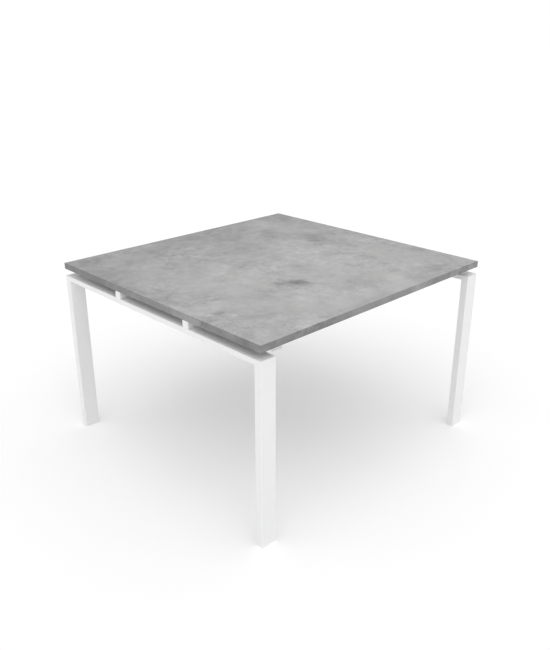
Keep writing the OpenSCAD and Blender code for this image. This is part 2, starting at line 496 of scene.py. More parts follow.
class GroupSheet(NodeSheet):
    """The sheet of a new shader node group.

    Attributes:
        given: The sockets of the group's inputs, by name.
    """

    def __init__(self, name: str, vectors: tuple[str, ...], numbers: tuple[str, ...]) -> None:
        """Makes the group and its inputs.

        Args:
            name: The group's name.
            vectors: Names of the vector inputs.
            numbers: Names of the number inputs.
        """
        super().__init__(bpy.data.node_groups.new(name, "ShaderNodeTree"))
        for kind, sockets in (("NodeSocketVector", vectors), ("NodeSocketFloat", numbers)):
            for socket in sockets:
                self.tree.interface.new_socket(name=socket, in_out="INPUT", socket_type=kind)
        self.given = self.add("NodeGroupInput").outputs

    def put_out(self, **results: Socket) -> Tree:
        """Makes the group's outputs, all numbers.

        Args:
            **results: Output name to the value that it gives.

        Returns:
            The finished group.
        """
        for name in results:
            self.tree.interface.new_socket(name=name, in_out="OUTPUT", socket_type="NodeSocketFloat")
        self.add("NodeGroupOutput", results)
        return self.tree


def make_clouds_group() -> Tree:
    """Makes the group of soft clouds in two sizes, each drifting into the other.

    Returns:
        The group, whose mask is 0.5 on average.
    """
    drift_scale = 0.7
    small_scale = 4.3
    small_share = 0.4
    sheet = GroupSheet("clouds", ("Vector",), ("Scale", "Drift"))
    vector, scale, drift = (sheet.given[name] for name in ("Vector", "Scale", "Drift"))
    moved = sheet.wander(vector, sheet.math("MULTIPLY", scale, drift_scale), drift, detail=1.0)
    large = sheet.noise(moved, scale, detail=3.0, roughness=0.55)
    small = sheet.noise(moved, sheet.math("MULTIPLY", scale, small_scale), detail=4.0, roughness=0.6)
    return sheet.put_out(Mask=sheet.weigh(small, large, small_share))


def make_stain_group() -> Tree:
    """Makes the group of one soft oval stain that fades out towards its rim; on the board the same group also
    lays painted shade.

    Returns:
        The group, whose mask is the strength at the middle and 0 past the rim.
    """
    sheet = GroupSheet("stain", ("Vector", "Place", "Turn", "Reach"), ("Strength",))
    sources = {"Vector": "Vector", "Location": "Place", "Rotation": "Turn", "Scale": "Reach"}
    inputs = {name: sheet.given[source] for name, source in sources.items()}
    oval = sheet.add("ShaderNodeMapping", inputs, vector_type="TEXTURE")
    fade = sheet.add("ShaderNodeTexGradient", {"Vector": oval.outputs[0]}, gradient_type="SPHERICAL")
    soft = sheet.remap(fade.outputs["Fac"], 0.0, 1.0)
    return sheet.put_out(Mask=sheet.math("MULTIPLY", soft, sheet.given["Strength"]))


def make_grain_group() -> Tree:
    """Makes the group of fine grain that gives a surface its tooth.

    Returns:
        The group, whose value is 0.5 on average and whose height is 0 to 1.
    """
    fine_scale = 5.0
    fine_share = 0.5
    sheet = GroupSheet("grain", ("Vector",), ("Scale",))
    vector, scale = (sheet.given[name] for name in ("Vector", "Scale"))
    coarse = sheet.noise(vector, scale)
    fine = sheet.noise(vector, sheet.math("MULTIPLY", scale, fine_scale))
    return sheet.put_out(Value=coarse, Height=sheet.weigh(fine, coarse, fine_share))


@dataclass
class SharedGroups:
    """The node groups that more than one material uses.

    Attributes:
        clouds: Soft clouds.
        stain: One oval stain, which on the board also lays painted shade.
        grain: Fine grain.
    """

    clouds: Tree = field(default_factory=make_clouds_group)
    stain: Tree = field(default_factory=make_stain_group)
    grain: Tree = field(default_factory=make_grain_group)


def blank_tree(owner: Material | bpy.types.World) -> Tree:
    """Gives a material or the world an empty node tree.

    Args:
        owner: The material or world.

    Returns:
        Its tree.
    """
    owner.use_nodes = True
    owner.node_tree.nodes.clear()
    return owner.node_tree


class MaterialSheet(NodeSheet):
    """The sheet of a new material with one Principled BSDF.

    Attributes:
        material: The material.
        groups: The shared node groups.
        shader: The Principled BSDF.
        place: The Object coordinates.
    """

    def __init__(self, name: str, groups: SharedGroups) -> None:
        """Starts the material.

        Args:
            name: The material's name.
            groups: The shared node groups.
        """
        self.material = bpy.data.materials.new(name)
        self.groups = groups
        super().__init__(blank_tree(self.material))
        self.shader = self.add("ShaderNodeBsdfPrincipled")
        self.add("ShaderNodeOutputMaterial", {"Surface": self.shader.outputs[0]})
        self.place = self.add("ShaderNodeTexCoord").outputs["Object"]

    def clouds(self, scale: float, drift: float) -> Socket:
        """Adds soft clouds and returns their mask."""
        inputs = {"Vector": self.place, "Scale": scale, "Drift": drift}
        return self.add("ShaderNodeGroup", inputs, node_tree=self.groups.clouds).outputs["Mask"]

    def grain(self, scale: float) -> tuple[Socket, Socket]:
        """Adds fine grain.

        Args:
            scale: Grains per metre.

        Returns:
            The grain's value and its height.
        """
        inputs = {"Vector": self.place, "Scale": scale}
        grain = self.add("ShaderNodeGroup", inputs, node_tree=self.groups.grain)
        return grain.outputs["Value"], grain.outputs["Height"]

    def tinted(self, mask: Socket, color: Color, dark: float, light: float) -> Socket:
        """Adds a colour that goes from a dark to a light share of itself as a mask rises."""
        low, high = (tuple(min(1.0, part * share) for part in color) for share in (dark, light))
        return self.blend(mask, low, high)

    def rough(self, noise: Socket, average: float, swing: float) -> Socket:
        """Adds a roughness that swings about an average with a noise."""
        usual_low, usual_high = 0.3, 0.7
        return self.remap(noise, usual_low, usual_high, average - swing, average + swing)


@dataclass(frozen=True)
class Stain:
    """One lighter or darker place in the decor, in millimetres on the table's plan; on the board a few broad
    ones are partly painted shade.

    Attributes:
        x: Place along the rails.
        y: Place across the rails.
        long: Reach along the stain.
        wide: Reach across the stain.
        tone: How much lighter or, below 0, darker its middle is.
        turn_deg: Turn of its long way from +X.
    """

    x: float
    y: float
    long: float
    wide: float
    tone: float
    turn_deg: float = 0.0


# The first four are broad: lighter at the front left, darker over the rear, the right edge and the left rear.
# They are partly the decor's tone and partly painted light and shade for light that falls off towards the
# rear and for the shade of chairs that stand round the table.
BOARD_STAINS_AND_SHADE = (
    Stain(0, 660, 1400, 760, -0.11),
    Stain(660, 0, 260, 700, -0.06),
    Stain(-650, 250, 220, 420, -0.05),
    Stain(-380, -560, 220, 130, 0.055),
    Stain(400, -560, 300, 130, -0.05),
    Stain(-110, -545, 120, 80, -0.03),
    Stain(-200, -240, 220, 90, -0.03),
    Stain(330, 240, 170, 110, -0.05, 120),
    Stain(-124, -226, 70, 32, -0.10, -50),
    Stain(-100, -268, 66, 30, -0.12, -70),
    Stain(-170, -212, 60, 26, -0.05, -25),
    Stain(-150, -222, 90, 40, -0.07, -35),
    Stain(-230, -225, 110, 40, -0.025, -10),
    Stain(-336, -262, 80, 60, -0.03),
    Stain(405, 142, 125, 85, -0.095, 75),
    Stain(400, 60, 230, 130, -0.045, 70),
    Stain(270, 312, 170, 70, -0.05, 40),
    Stain(136, 378, 90, 60, -0.035, 45),
    Stain(0, 512, 120, 70, -0.045, 30),
    Stain(140, 562, 140, 45, -0.06, 25),
    Stain(-264, 466, 45, 38, -0.045, 60),
    Stain(-545, 505, 140, 110, -0.015, 45),
    Stain(568, 500, 140, 60, -0.065, 55),
    Stain(-600, 114, 110, 50, -0.06, 90),
    Stain(-600, -10, 110, 45, -0.06, 90),
    Stain(-500, -22, 70, 50, 0.045, 20),
    Stain(-536, -299, 34, 26, -0.09),
    Stain(-584, -294, 42, 34, -0.06),
    Stain(-482, -292, 30, 22, -0.05, 40),
    Stain(235, -90, 110, 50, -0.035, 20),
    Stain(56, 26, 90, 50, -0.035, 80),
    Stain(30, -400, 100, 60, -0.045, 40),
    Stain(70, -465, 90, 50, -0.03),
    Stain(568, -320, 90, 60, -0.07, 60),
    Stain(432, -512, 150, 70, -0.05, 20),
    Stain(264, -526, 60, 50, -0.05),
    Stain(-50, -572, 170, 40, -0.06),
    Stain(160, 80, 200, 140, 0.03, 60),
    Stain(118, -220, 170, 80, 0.05, 85),
    Stain(255, -30, 150, 90, 0.03, 40),
    Stain(384, 450, 170, 90, 0.045, 80),
    Stain(-497, -350, 24, 20, 0.04),
    Stain(-568, -254, 60, 40, 0.04),
    Stain(-432, -250, 60, 40, 0.03),
    Stain(195, -480, 120, 70, 0.05, 75),
    Stain(-180, -385, 160, 90, 0.02, 20),
    Stain(243, -22, 70, 44, -0.055, 45),
)

EDGE_STAINS = (
    Stain(-610, -525, 50, 40, -0.05, 90),
    Stain(-610, -225, 95, 60, 0.07, 90),
    Stain(-610, -85, 90, 60, 0.06, 90),
    Stain(-610, 230, 50, 40, 0.04, 90),
    Stain(-610, 350, 130, 60, -0.03, 90),
    Stain(-610, 480, 90, 60, -0.03, 90),
    Stain(-580, -580, 60, 40, -0.06),
    Stain(-435, -580, 45, 30, -0.05),
    Stain(-345, -580, 60, 40, -0.07),
    Stain(-155, -580, 90, 40, 0.04),
    Stain(10, -580, 70, 40, 0.035),
    Stain(205, -580, 95, 60, 0.085),
    Stain(440, -580, 50, 40, 0.05),
)


@dataclass(frozen=True)
class Clouds:
    """One layer of soft clouds in the decor.

    Attributes:
        scale: Clouds per metre.
        drift: How far they drift into each other, in metres.
        swing: How far the shade swings.
        gather: How much more they show where the pattern gathers.
        spread: How much they show all over.
    """

    scale: float
    drift: float
    swing: float
    gather: float
    spread: float


CLOUD_LAYERS = (
    Clouds(2.6, 0.12, 0.30, 0.0, 1.0),
    Clouds(8.0, 0.05, 0.26, 1.0, 0.55),
    Clouds(25.0, 0.02, 0.27, 1.0, 0.55),
)


@dataclass(frozen=True)
class DarkMarks:
    """One layer of ragged dark marks in the decor, where a noise is high.

    Attributes:
        scale: Marks per metre.
        detail: Detail of the noise.
        roughness: Roughness of the noise.
        full: Noise at which a mark is darkest.
        gather: How much more they show where the pattern gathers.
        spread: How much they show all over.
    """

    scale: float
    detail: float
    roughness: float
    full: float
    gather: float
    spread: float


MARK_LAYERS = (
    DarkMarks(13.0, 6.0, 0.68, 0.72, 1.0, 0.0),
    DarkMarks(55.0, 5.0, 0.72, 0.75, 0.6, 0.5),
)


@dataclass(frozen=True)
class ConcreteDecor:
    """Matt printed concrete look: soft clouds, dark marks, stained patches, pits and grain; on the board some
    broad patches and the underside are painted shade.

    Attributes:
        tone: Average shade of grey, linear.
        contrast: How strongly the pattern shows.
        stains: The places that are lighter or darker: stain in the decor and, on the board, partly painted
            shade.
        roughness: Average roughness.
        backing: Shade of a plain, darker sheet under the board, which is painted shade that deepens the gap
            over the beams, or None where there is none.
        backing_contrast: Share of the pattern that shows on that sheet.
        backing_thickness: Thickness of that sheet.
        white: The colour at a shade of 1.
        mark_shade: Change of shade in the dark marks.
        pit_shade: Change of shade in the pits.
        speckle: How far the shade swings with the grain.
        grain_scale: Grains per metre.
        frays: Bends per metre in the stains' rims.
        fray: How far the rims wander, in metres.
        roughness_swing: How far the roughness swings with the grain.
        tooth: Strength of the bumps.
        tooth_height: Height of the bumps, in metres.
        pit_depth: Depth of the pits, as a share of that height.
        specular: Specular level.
    """

    tone: float
    contrast: float
    stains: tuple[Stain, ...]
    roughness: float
    backing: float | None = None
    backing_contrast: float = 0.2
    backing_thickness: float = 0.2 * MM
    white: Color = (1.0, 0.999, 0.996)
    mark_shade: float = -0.075
    pit_shade: float = -0.06
    speckle: float = 0.05
    grain_scale: float = 260.0
    frays: float = 14.0
    fray: float = 110.0 * MM
    roughness_swing: float = 0.04
    tooth: float = 0.12
    tooth_height: float = 0.3 * MM
    pit_depth: float = 0.6
    specular: float = 0.3

    def paint(self, sheet: MaterialSheet) -> None:
        """Fills a material's sheet.

        Args:
            sheet: The sheet of the new material.
        """
        shade = self._clouded(sheet)
        frayed = sheet.wander(sheet.place, self.frays, self.fray, detail=4.0, roughness=0.65)
        # Stain patches; the board's broad ones are partly painted shade.
        for stain in self.stains:
            shade = sheet.math("ADD", shade, self._stain(sheet, frayed, stain))
        grain, grain_height = sheet.grain(self.grain_scale)
        shade = sheet.math("ADD", shade, sheet.swing(grain, self.speckle * self.contrast))
        pits = self._pits(sheet)
        shade = sheet.math("MULTIPLY_ADD", pits, self.pit_shade * self.contrast, shade, clamp=True)
        # The board's darker underside is painted shade for the gap over the beams.
        if self.backing is not None:
            shade = self._backed(sheet, shade)
        dents = sheet.math("MULTIPLY_ADD", pits, -self.pit_depth, grain_height)
        looks = {
            "Base Color": sheet.blend(shade, BLACK, self.white),
            "Roughness": sheet.rough(grain, self.roughness, self.roughness_swing),
            "Normal": sheet.bump(dents, self.tooth, self.tooth_height),
            "Specular IOR Level": self.specular,
        }
        sheet.feed(sheet.shader, looks)

    def _clouded(self, sheet: MaterialSheet) -> Socket:
        """Adds clouds and dark marks, which gather in patches, to the average shade.

        Args:
            sheet: The material's sheet.

        Returns:
            The shade.
        """
        patches_per_metre, bare, full = 3.1, 0.36, 0.66
        gathered = sheet.remap(sheet.noise(sheet.place, patches_per_metre, detail=3.0), bare, full)
        shade: Value = self.tone
        for clouds in CLOUD_LAYERS:
            swing = sheet.swing(sheet.clouds(clouds.scale, clouds.drift), clouds.swing * self.contrast)
            amount = sheet.math("MULTIPLY_ADD", gathered, clouds.gather, clouds.spread)
            shade = sheet.math("MULTIPLY_ADD", swing, amount, shade)
        rim = 0.5
        for marks in MARK_LAYERS:
            noise = sheet.noise(sheet.place, marks.scale, marks.detail, marks.roughness)
            amount = sheet.math("MULTIPLY_ADD", gathered, marks.gather, marks.spread)
            mask = sheet.math("MULTIPLY", sheet.remap(noise, rim, marks.full), amount)
            shade = sheet.math("MULTIPLY_ADD", mask, self.mark_shade * self.contrast, shade)
        return shade

    def _stain(self, sheet: MaterialSheet, place: Socket, stain: Stain) -> Socket:
        """Adds one stain, which on the board may be partly painted shade.

        Args:
            sheet: The material's sheet.
            place: Coordinates that fray its rim.
            stain: The stain.

        Returns:
            The change of shade.
        """
        reach_down = 1.0
        inputs = {
            "Vector": place,
            "Place": (stain.x * MM, stain.y * MM, cad_bounds[1][Z]),
            "Turn": (0.0, 0.0, math.radians(stain.turn_deg)),
            "Reach": (stain.long * MM, stain.wide * MM, reach_down),
            "Strength": stain.tone,
        }
        return sheet.add("ShaderNodeGroup", inputs, node_tree=sheet.groups.stain).outputs["Mask"]

    def _pits(self, sheet: MaterialSheet) -> Socket:
        """Adds pinholes that are scattered in patches.

        Args:
            sheet: The material's sheet.

        Returns:
            Their mask.
        """
        pits_per_metre, bottom, rim = 70.0, 0.10, 0.22
        patches_per_metre, bare, full = 7.0, 0.52, 0.62
        cells = sheet.add("ShaderNodeTexVoronoi", {"Vector": sheet.place, "Scale": pits_per_metre})
        dots = sheet.remap(cells.outputs["Distance"], bottom, rim, 1.0, 0.0)
        patches = sheet.remap(sheet.noise(sheet.place, patches_per_metre), bare, full)
        return sheet.math("MULTIPLY", dots, patches)

    def _backed(self, sheet: MaterialSheet, shade: Socket) -> Socket:
        """Darkens the board's underside to a plain, darker sheet, which is painted shade that deepens the gap
        over the beams.

        Args:
            sheet: The material's sheet.
            shade: The decor's shade.

        Returns:
            The shade with that painted shade under the board.
        """
        sheet_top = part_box("tabletop_board")[0].z + self.backing_thickness
        height = sheet.add("ShaderNodeSeparateXYZ", {0: sheet.place}).outputs["Z"]
        below = sheet.remap(height, sheet_top - self.backing_thickness / 2, sheet_top, 1.0, 0.0)
        share = self.backing_contrast
        plain = sheet.math("MULTIPLY_ADD", shade, share, self.backing - share * self.tone)
        change = sheet.math("SUBTRACT", plain, shade)
        return sheet.math("MULTIPLY_ADD", change, below, shade)


@dataclass(frozen=True)
class Coating:
    """Powder coat or moulded plastic: an even colour with a fine orange peel.

    Attributes:
        color: Average colour, linear.
        roughness: Average roughness.
        peel_scale: Bumps per metre.
        peel: Strength of the bumps.
        mottle: How much the shade wanders.
        peel_height: Height of the bumps, in metres.
        roughness_swing: How far the roughness wanders.
        cloud_scale: Patches per metre of both.
        cloud_drift: How far the patches drift into each other, in metres.
    """

    color: Color
    roughness: float
    peel_scale: float
    peel: float
    mottle: float
    peel_height: float = 0.2 * MM
    roughness_swing: float = 0.03
    cloud_scale: float = 12.0
    cloud_drift: float = 30.0 * MM

    def paint(self, sheet: MaterialSheet) -> None:
        """Fills a material's sheet.

        Args:
            sheet: The sheet of the new material.
        """
        clouds = sheet.clouds(self.cloud_scale, self.cloud_drift)
        _value, bumps = sheet.grain(self.peel_scale)
        looks = {
            "Base Color": sheet.tinted(clouds, self.color, 1.0 - self.mottle, 1.0 + self.mottle),
            "Roughness": sheet.rough(clouds, self.roughness, self.roughness_swing),
            "Normal": sheet.bump(bumps, self.peel, self.peel_height),
        }
        sheet.feed(sheet.shader, looks)


@dataclass(frozen=True)
class ZincPlate:
    """Bright zinc plating with fine turning marks and a faint bloom.

    Attributes:
        color: Average colour, linear.
        roughness: Average roughness.
        dull: Share of the colour in the dullest bloom.
        bright: Share of the colour in the brightest.
        bloom_scale: Patches of bloom per metre.
        bloom_drift: How far they drift into each other, in metres.
        marks: Turning marks per metre along X, Y and Z.
        marks_strength: Strength of their bumps.
        marks_height: Height of their bumps, in metres.
        roughness_swing: How far the roughness swings with the marks.
    """

    color: Color
    roughness: float
    dull: float = 0.85
    bright: float = 1.12
    bloom_scale: float = 90.0
    bloom_drift: float = 4.0 * MM
    marks: tuple[float, float, float] = (200.0, 200.0, 6000.0)
    marks_strength: float = 0.15
    marks_height: float = 0.1 * MM
    roughness_swing: float = 0.06

    def paint(self, sheet: MaterialSheet) -> None:
        """Fills a material's sheet.

        Args:
            sheet: The sheet of the new material.
        """
        bloom = sheet.clouds(self.bloom_scale, self.bloom_drift)
        scaled = sheet.add("ShaderNodeMapping", {"Vector": sheet.place, "Scale": self.marks})
        lines = sheet.noise(scaled.outputs[0], 1.0)
        looks = {
            "Base Color": sheet.tinted(bloom, self.color, self.dull, self.bright),
            "Metallic": 1.0,
            "Roughness": sheet.rough(lines, self.roughness, self.roughness_swing),
            "Normal": sheet.bump(lines, self.marks_strength, self.marks_height),
        }
        sheet.feed(sheet.shader, looks)


@dataclass
class Finishes:
    """Every finish of the table, built once.

    Attributes:
        groups: The shared node groups.
        made: The material of each slot.
    """

    groups: SharedGroups = field(default_factory=SharedGroups)
    made: dict[Slot, Material] = field(default_factory=dict)

    def build(self) -> None:
        """Builds the material of each slot."""
        recipes = {
            # The board's darker underside is painted shade that deepens the gap over the beams.
            Slot.BOARD: ConcreteDecor(0.388, 1.0, BOARD_STAINS_AND_SHADE, 0.52, backing=0.215),
            # The bands' decor is darker than the board's: partly the bands' own tone, partly painted shade
            # for the less light that upright faces get.
            Slot.EDGE: ConcreteDecor(0.25, 0.75, EDGE_STAINS, 0.55),
            Slot.STEEL: Coating((0.887, 0.887, 0.887), 0.38, 700.0, 0.2, 0.01),
            Slot.WHITE_PLASTIC: Coating((0.89, 0.89, 0.89), 0.5, 1500.0, 0.05, 0.006),
            Slot.GREY_PLASTIC: Coating((0.075, 0.076, 0.08), 0.55, 1800.0, 0.1, 0.05),
            Slot.ZINC: ZincPlate((0.62, 0.63, 0.65), 0.32),
        }
        for slot, recipe in recipes.items():
            sheet = MaterialSheet(slot.value, self.groups)
            recipe.paint(sheet)
            self.made[slot] = sheet.material
            log.info("finish %s", slot.value)

    def dress(self, piece: Piece, slot: Slot) -> None:
        """Gives a piece one finish all over.

        Args:
            piece: The piece.
            slot: Its material slot.
        """
        piece.data.materials.clear()
        piece.data.materials.append(self.made[slot])

    def finish_node(self, name: str, slot: Slot) -> None:
        """Gives a CAD node its finish."""
        self.dress(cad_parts[name], slot)
        log.info("node %s keeps its shape", name)

    def place(self, piece: Piece, slot: Slot, body: str, node: str) -> None:
        """Dresses a new piece, puts it on its body and hides the node it stands for.

        Args:
            piece: The new piece.
            slot: Its material slot.
            body: The CAD body it moves with.
            node: The CAD node it replaces.
        """
        self.dress(piece, slot)
        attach(piece, body)
        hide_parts(node)
        log.info("piece %s: %d faces, for node %s", piece.name, len(piece.data.polygons), node)


# The table


@dataclass
class Tabletop:
    """The board and the four bands round its edge.

    Attributes:
        finishes: The table's finishes.
        arris: Rounding of the bands' outer edges.
        arris_faces: Number of faces across it.
    """

    finishes: Finishes
    arris: float = 1.0 * MM
    arris_faces: int = 4

    def build(self) -> None:
        """Builds the bands and dresses the board."""
        self.finishes.finish_node("tabletop_board", Slot.BOARD)
        for way in (*End, *Side):
            self.build_band(way)

    def build_band(self, way: Way) -> None:
        """Builds one edge band, whose upright edges are rounded where it runs to the table's corners.

        Args:
            way: The way that the band faces.
        """
        node = f"{way.word}_edge_band"
        band = add_block(f"{node}_strip", *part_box(node))
        outer = way.reach(node)
        runs_full = way in End

        def is_outer(a: Vector, b: Vector) -> bool:
            """Says whether an edge of the band is rounded."""
            return both_at(way.axis, outer, a, b) and (runs_full or not along(Z, a, b))

        bevel_edges(band, self.arris, is_outer, self.arris_faces)
        soften(band)
        self.finishes.place(band, Slot.EDGE, "table", node)


def screw_places(node: str) -> list[tuple[float, float]]:
    """Finds the axes of the upright screws in a node of several like screws.

    Args:
        node: The CAD node.

    Returns:
        The places on the plan, in order along X and then Y.
    """
    apart = 16.0 * MM
    digits = 5
    groups: list[list[Vector]] = []
    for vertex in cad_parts[node].data.vertices:
        near = [group for group in groups if (group[0] - vertex.co).xy.length < apart]
        if near:
            near[0].append(vertex.co)
        else:
            groups.append([vertex.co])
    places = []
    for group in groups:
        xs, ys, _zs = zip(*group)
        middles = ((min(values) + max(values)) / 2 for values in (xs, ys))
        places.append(tuple(round(middle, digits) for middle in middles))
    return sorted(places)


@dataclass
class SquareTube:
    """A straight steel tube with rounded corners.

    Attributes:
        wall: Thickness of the wall.
        corner: Outer radius of the corners.
        corner_faces: Number of faces across a corner.
        spare: Extra length at an end that is mitred.
        gap: Clearance between the wall and what plugs into the tube.
        access_radius: Radius of the hole in the lower wall through which a screw is reached.
        screw_radius: Radius of the hole in the upper wall that the screw passes.
    """

    wall: float = 2.0 * MM
    corner: float = 2.2 * MM
    corner_faces: int = 5
    spare: float = 5.0 * MM
    gap: float = 0.1 * MM
    access_radius: float = 6.0 * MM
    screw_radius: float = 3.3 * MM

    @property
    def inset(self) -> float:
        """Distance from the tube's outer faces to those of what plugs into it."""
        return self.wall + self.gap

    def build(self, name: str, low: Vector, high: Vector, axis: int) -> Piece:
        """Builds an open tube between two corners.

        Args:
            name: The piece's name.
            low: Lowest corner.
            high: Highest corner.
            axis: The axis that it runs along.

        Returns:
            The tube, open at both ends.
        """
        tube = add_block(name, low, high)
        delete_faces(tube, lambda centre, normal: abs(normal[axis]) > NEARLY)
        self.round_corners(tube, axis)
        apply_modifier(tube, "SOLIDIFY", thickness=self.wall, offset=-1.0, use_even_offset=True, use_rim=True)
        return tube

    def round_corners(self, piece: Piece, axis: int) -> None:
        """Rounds the edges that run along an axis as the tube's corners are."""
        bevel_edges(piece, self.corner, lambda a, b: along(axis, a, b), self.corner_faces)

    def drill(self, tube: Piece, wall: Vector, radius: float) -> None:
        """Drills an upright hole through one wall of a tube.

        Args:
            tube: The tube to drill.
            wall: Where the hole's axis meets the wall's outer face.
            radius: Radius of the hole.
        """
        reach = 1.5 * self.wall
        cut(tube, add_bar("drill", wall, wall.z - reach, wall.z + reach, radius))

    def drill_for_screws(self, tube: Piece, node: str, screws: str) -> None:
        """Drills the access hole and the screw hole of each upright screw.

        Args:
            tube: The tube to drill.
            node: The CAD node of the tube.
            screws: The CAD node of the screws.
        """
        low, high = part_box(node)
        for x, y in screw_places(screws):
            self.drill(tube, Vector((x, y, low.z)), self.access_radius)
            self.drill(tube, Vector((x, y, high.z)), self.screw_radius)

    def countersink(self, tube: Piece, wall: Vector, radius: float, rim: float, depth: float) -> None:
        """Widens a hole in a tube's lower wall to a cone.

        Args:
            tube: The tube.
            wall: Where the hole's axis meets the wall's outer face.
            radius: Radius of the hole.
            rim: Radius of the cone at the outer face.
            depth: Depth of the cone.
        """
        wider = rim + (rim - radius) * OVERLAP / depth
        cut(tube, add_bar("countersink", wall, wall.z - OVERLAP, wall.z + depth, wider, top_radius=radius))


@dataclass
class Portal:
    """A beam and two legs, mitred at the corners.

    Attributes:
        finishes: The table's finishes.
        side: Which portal it is.
        tube: The form of its tubes.
    """

    finishes: Finishes
    side: Side
    tube: SquareTube = field(default_factory=SquareTube)

    def build(self) -> None:
        """Builds the beam and both legs, and dresses the screws that join it to the rails."""
        self.build_beam()
        for end in End:
            self.build_leg(end)
        self.finishes.finish_node(f"{self.side.word}_joint_screws", Slot.ZINC)

    def corner(self, end: End) -> tuple[Vector, Vector]:
        """Finds the mitre of one corner.

        Args:
            end: Which end of the beam.

        Returns:
            The mitre's upper outer point, and its upward normal.
        """
        beam = f"{self.side.word}_beam"
        beam_low, beam_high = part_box(beam)
        leg_low, leg_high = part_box(f"{self.side.word}_{end.word}_leg")
        point = Vector((beam_low.x, end.reach(beam), beam_high.z))
        leg_depth = leg_high.y - leg_low.y
        beam_height = beam_high.z - beam_low.z
        return point, Vector((0.0, -end.sign * beam_height, leg_depth)).normalized()

    def build_beam(self) -> None:
        """Builds the beam, mitred at both ends, with its screw holes."""
        node = f"{self.side.word}_beam"
        low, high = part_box(node)
        spare = Vector((0.0, self.tube.spare, 0.0))
        beam = self.tube.build(f"{node}_tube", low - spare, high + spare, Y)
        for end in End:
            point, upward = self.corner(end)
            mitre(beam, point, -upward)
        self.tube.drill_for_screws(beam, node, f"{self.side.word}_joint_screws")
        soften(beam)
        self.finishes.place(beam, Slot.STEEL, "table", node)

    def build_leg(self, end: End) -> None:
        """Builds one leg, mitred at the top and open at the floor.

        Args:
            end: Which end of the portal.
        """
        node = f"{self.side.word}_{end.word}_leg"
        low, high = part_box(node)
        spare = Vector((0.0, 0.0, self.tube.spare))
        leg = self.tube.build(f"{node}_tube", low, high + spare, Z)
        point, upward = self.corner(end)
        mitre(leg, point, upward)
        soften(leg)
        self.finishes.place(leg, Slot.STEEL, "table", node)


@dataclass
class Rail:
    """A rail along X with a cap at each end.

    Attributes:
        finishes: The table's finishes.
        end: Which rail it is.
        tube: The form of its tube.
        rivet_radius: Radius of the holes for the rivet nuts.
        head_radius: Radius of those holes at the rail's underside.
        head_height: Depth of the cone between the two.
        cap_rim: Rounding round a cap's outer face.
        cap_wall: Thickness of the walls of a cap's spigot.
    """

    finishes: Finishes
    end: End
    tube: SquareTube = field(default_factory=SquareTube)
    rivet_radius: float = 4.55 * MM
    head_radius: float = 6.05 * MM
    head_height: float = 1.4 * MM
    cap_rim: float = 0.4 * MM
    cap_wall: float = 2.0 * MM

    def build(self) -> None:
        """Builds the rail and its caps, and dresses its fasteners."""
        self.build_tube()
        for side in Side:
            self.build_cap(side)
        for part in ("rivet_nuts", "top_screws", "board_inserts"):
            self.finishes.finish_node(f"{self.end.word}_{part}", Slot.ZINC)

    def build_tube(self) -> None:
        """Builds the rail's tube with its holes."""
        node = f"{self.end.word}_rail"
        low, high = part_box(node)
        rail = self.tube.build(f"{node}_tube", low, high, X)
        self.tube.drill_for_screws(rail, node, f"{self.end.word}_top_screws")
        for x, y in screw_places(f"{self.end.word}_rivet_nuts"):
            place = Vector((x, y, low.z))
            self.tube.drill(rail, place, self.rivet_radius)
            self.tube.countersink(rail, place, self.rivet_radius, self.head_radius, self.head_height)
        soften(rail)
        self.finishes.place(rail, Slot.STEEL, "table", node)

    def build_cap(self, side: Side) -> None:
        """Builds the moulded cap at one end: a flange on the rail's end, and a hollow spigot inside the rail.

        Args:
            side: Which end of the rail.
        """
        node = f"{self.end.word}_rail_{side.word}_cap"
        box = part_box(node)
        seam, outer = side.reach(f"{self.end.word}_rail"), side.reach(node)
        inner = box[0].x if side is Side.RIGHT else box[1].x
        cap = add_block(f"{node}_moulding", *spanned(box, X, seam, outer))
        self.tube.round_corners(cap, X)
        bevel_edges(cap, self.cap_rim, lambda a, b: both_at(X, outer, a, b))
        plugged = shrunk(box, Vector((0.0, self.tube.inset, self.tube.inset)))
        spigot = add_block("spigot", *spanned(plugged, X, inner, seam + side.sign * OVERLAP))
        room = shrunk(plugged, Vector((0.0, self.cap_wall, self.cap_wall)))
        cut(spigot, add_block("room", *spanned(room, X, inner - side.sign * OVERLAP, seam)))
        combine(cap, spigot, "UNION")
        soften(cap)
        self.finishes.place(cap, Slot.WHITE_PLASTIC, "table", node)


@dataclass(frozen=True)
class Upright:
    """The place and size of an upright round node.

    Attributes:
        axis: A point on its axis.
        low: Height of its lower end.
        high: Height of its upper end.
        radius: Half its width.
    """

    axis: Vector
    low: float
    high: float
    radius: float

    @classmethod
    def of(cls, node: str) -> "Upright":
        """Measures a CAD node."""
        low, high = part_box(node)
        return cls((low + high) / 2, low.z, high.z, (high.x - low.x) / 2)


